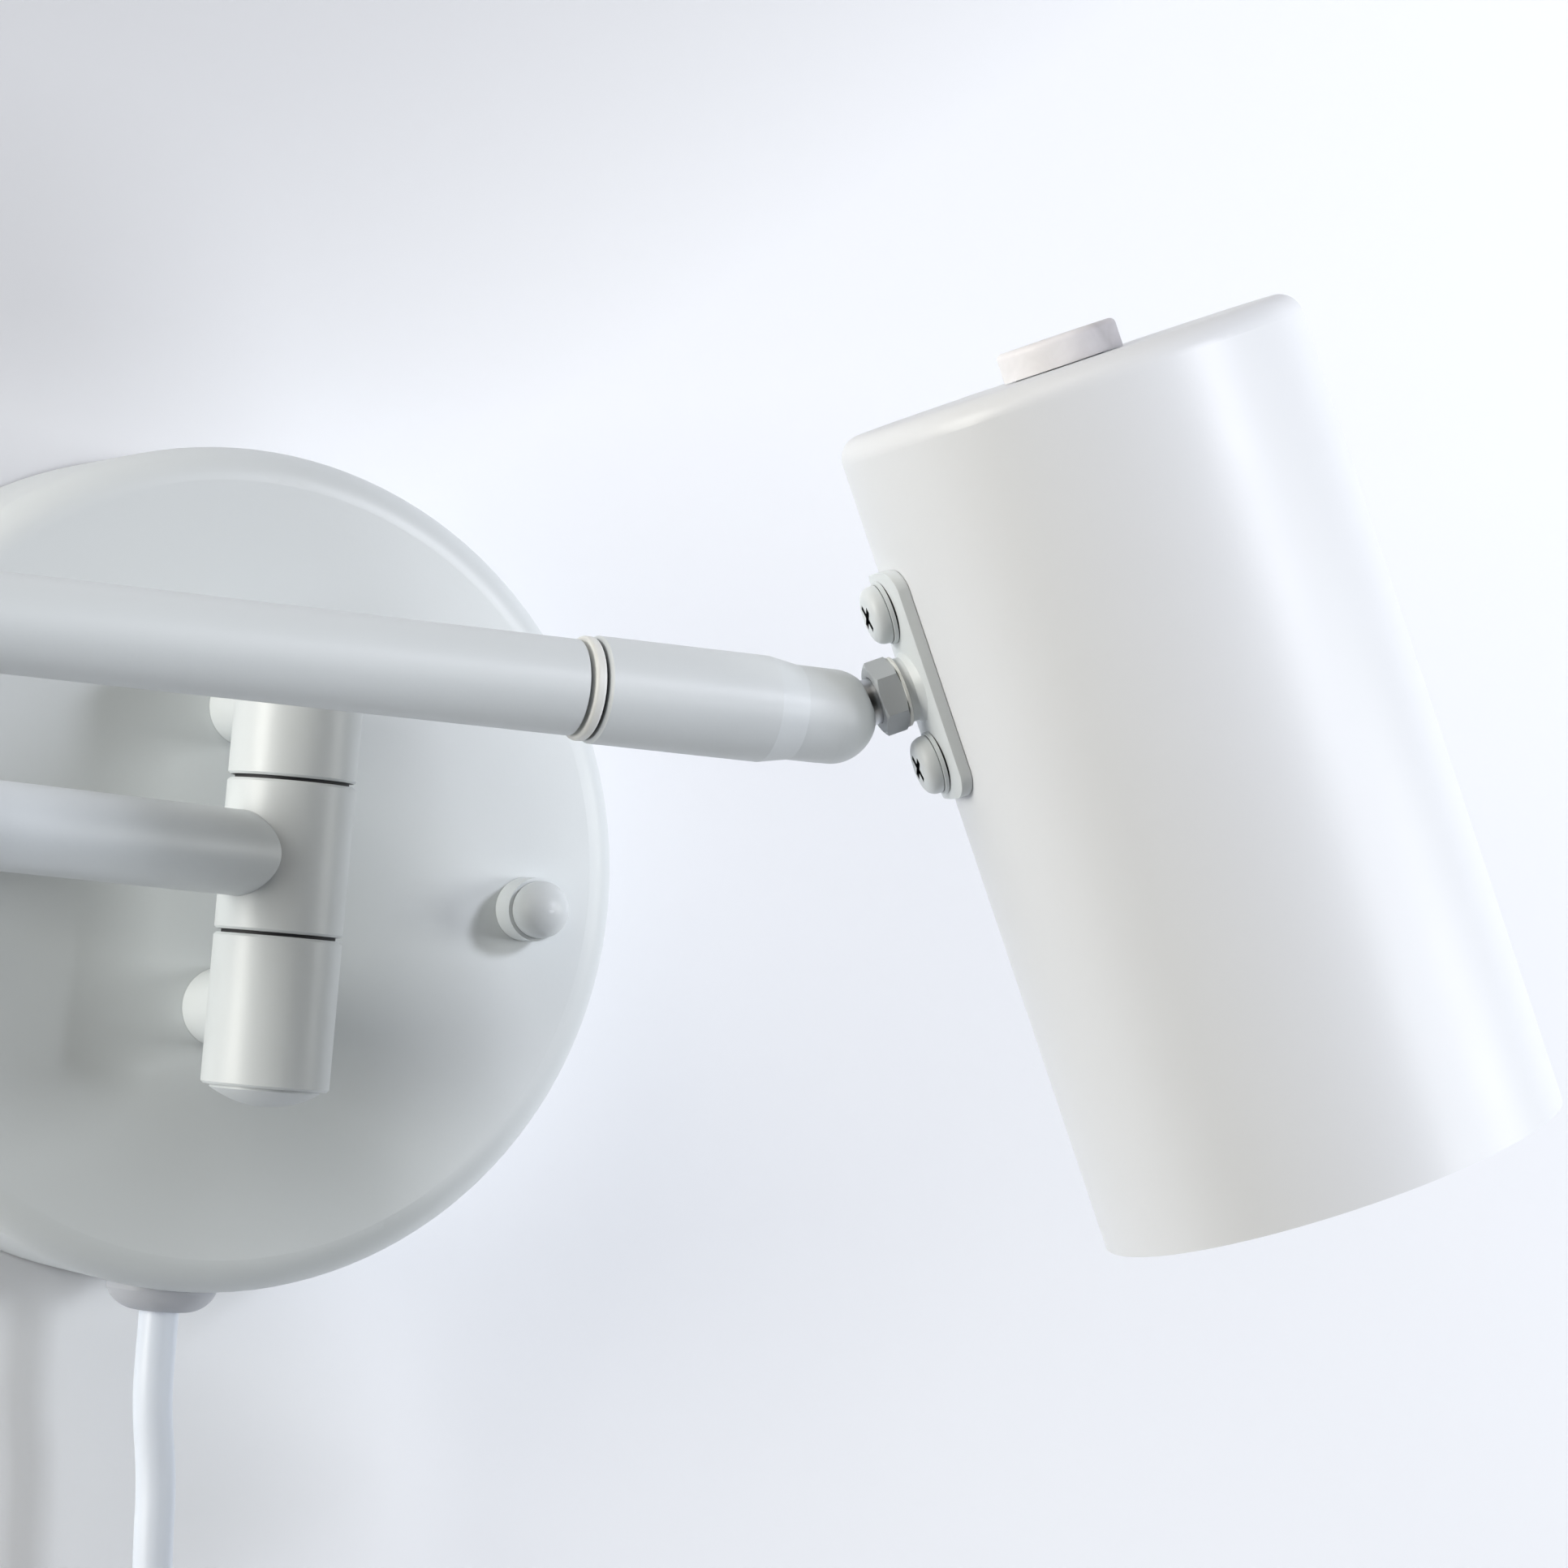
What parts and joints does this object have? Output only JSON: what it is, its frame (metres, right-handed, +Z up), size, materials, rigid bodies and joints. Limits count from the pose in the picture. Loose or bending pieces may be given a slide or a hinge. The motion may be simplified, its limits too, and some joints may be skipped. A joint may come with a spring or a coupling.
{
  "type": "articulating wall lamp",
  "caption": "White swing-arm wall lamp: round wall canopy, stacked knuckle pivots, folding tube arms, a ball-jointed cylinder shade, and a plug-in cord.",
  "frame": {"origin": "centre of the crossbar's wall slots, on the crossbar's back face, which lies on the wall", "axes": "+X right along the wall, +Y into the wall along the wall screws, +Z up"},
  "size_m": [0.3495, 0.2018, 0.449],
  "materials": {
    "white_powder_coat": "fine satin powder coat",
    "shade_powder_coat": "fine satin powder coat",
    "zinc_steel": "bright zinc plate",
    "brass": "plain turned or stamped",
    "white_nylon": "turned nylon",
    "white_moulding": "moulded, satin",
    "knob_plastic": "milky translucent moulding",
    "cord_pvc": "smooth extruded jacket",
    "rubber": "moulded",
    "tie_strap": "flat strap"
  },
  "bodies": {
    "wall_base": {"wall_canopy": "white_powder_coat", "mounting_crossbar": "zinc_steel", "crossbar_studs": "zinc_steel", "stud_lock_nuts": "zinc_steel", "cap_nuts": "white_powder_coat", "ground_screw": "brass", "terminal_block": "white_moulding", "upper_wall_knuckle": "white_powder_coat", "lower_wall_knuckle": "white_powder_coat", "stem_nipples": "zinc_steel", "stem_lock_nuts": "zinc_steel", "wall_pivot_tube": "zinc_steel", "wall_pivot_caps": "white_powder_coat", "wall_knuckle_washers": "white_nylon", "cord_bushing": "white_moulding", "cord_bushing_nut": "white_moulding", "power_cord": "cord_pvc", "cord_coil": "cord_pvc", "cord_tie": "tie_strap", "plug_body": "cord_pvc", "plug_blades": "brass"},
    "lower_arm": {"lower_arm_wall_knuckle": "white_powder_coat", "lower_arm_tube": "white_powder_coat", "lower_arm_elbow_knuckle": "white_powder_coat", "elbow_pivot_tube": "zinc_steel", "elbow_pivot_caps": "white_powder_coat", "elbow_washer": "white_nylon"},
    "upper_arm": {"upper_arm_elbow_knuckle": "white_powder_coat", "upper_arm_tube": "white_powder_coat", "arm_end_spigot": "zinc_steel", "sleeve_spacer_ring": "white_nylon", "sleeve_clip": "zinc_steel"},
    "sleeve": {"swivel_sleeve": "white_powder_coat", "ball_friction_cup": "brass", "friction_bush": "rubber"},
    "tilt_stud": {"ball_stud": "zinc_steel", "stud_collar": "white_powder_coat", "stud_slip_washer": "white_nylon", "stud_end_nut": "zinc_steel"},
    "shade_head": {"shade_side_plate": "white_powder_coat", "side_plate_screws": "white_powder_coat", "side_plate_washers": "white_powder_coat", "side_plate_nuts": "zinc_steel", "inner_backing_strip": "zinc_steel", "shade_shell": "shade_powder_coat", "lamp_holder_body": "white_moulding", "lamp_holder_shell": "brass", "lamp_holder_contact": "brass", "holder_neck_nut": "zinc_steel"},
    "knob": {"switch_knob": "knob_plastic"}
  },
  "joints": [
    {"name": "wall_swing", "type": "hinge", "parent": "wall_base", "child": "lower_arm", "pos_m": [0, -0.0554, 0.00355], "axis": [0, 0, 1], "range_deg": [-24.4, 155.6]},
    {"name": "elbow_swing", "type": "hinge", "parent": "lower_arm", "child": "upper_arm", "pos_m": [-0.20946, -0.15041, 0.0252], "axis": [0, 0, -1], "range_deg": [-19, 300]},
    {"name": "sleeve_roll", "type": "hinge", "parent": "upper_arm", "child": "sleeve", "pos_m": [0.03329, -0.1555, 0.0252], "axis": [0.9998, -0.0209, 0], "range_deg": [-165, 165]},
    {"name": "head_tilt", "type": "hinge", "parent": "sleeve", "child": "tilt_stud", "pos_m": [0.03329, -0.1555, 0.0252], "axis": [-0.0186, -0.89, -0.4555], "range_deg": [-117.5, 4]},
    {"name": "head_spin", "type": "hinge", "parent": "tilt_stud", "child": "shade_head", "pos_m": [0.03329, -0.1555, 0.0252], "axis": [0.8808, -0.2303, 0.4138], "range_deg": [-165, 165]},
    {"name": "switch_turn", "type": "hinge", "parent": "shade_head", "child": "knob", "pos_m": [0.05851, -0.16315, 0.07247], "axis": [-0.4082, 0.0738, 0.9099], "continuous": true}
  ]
}
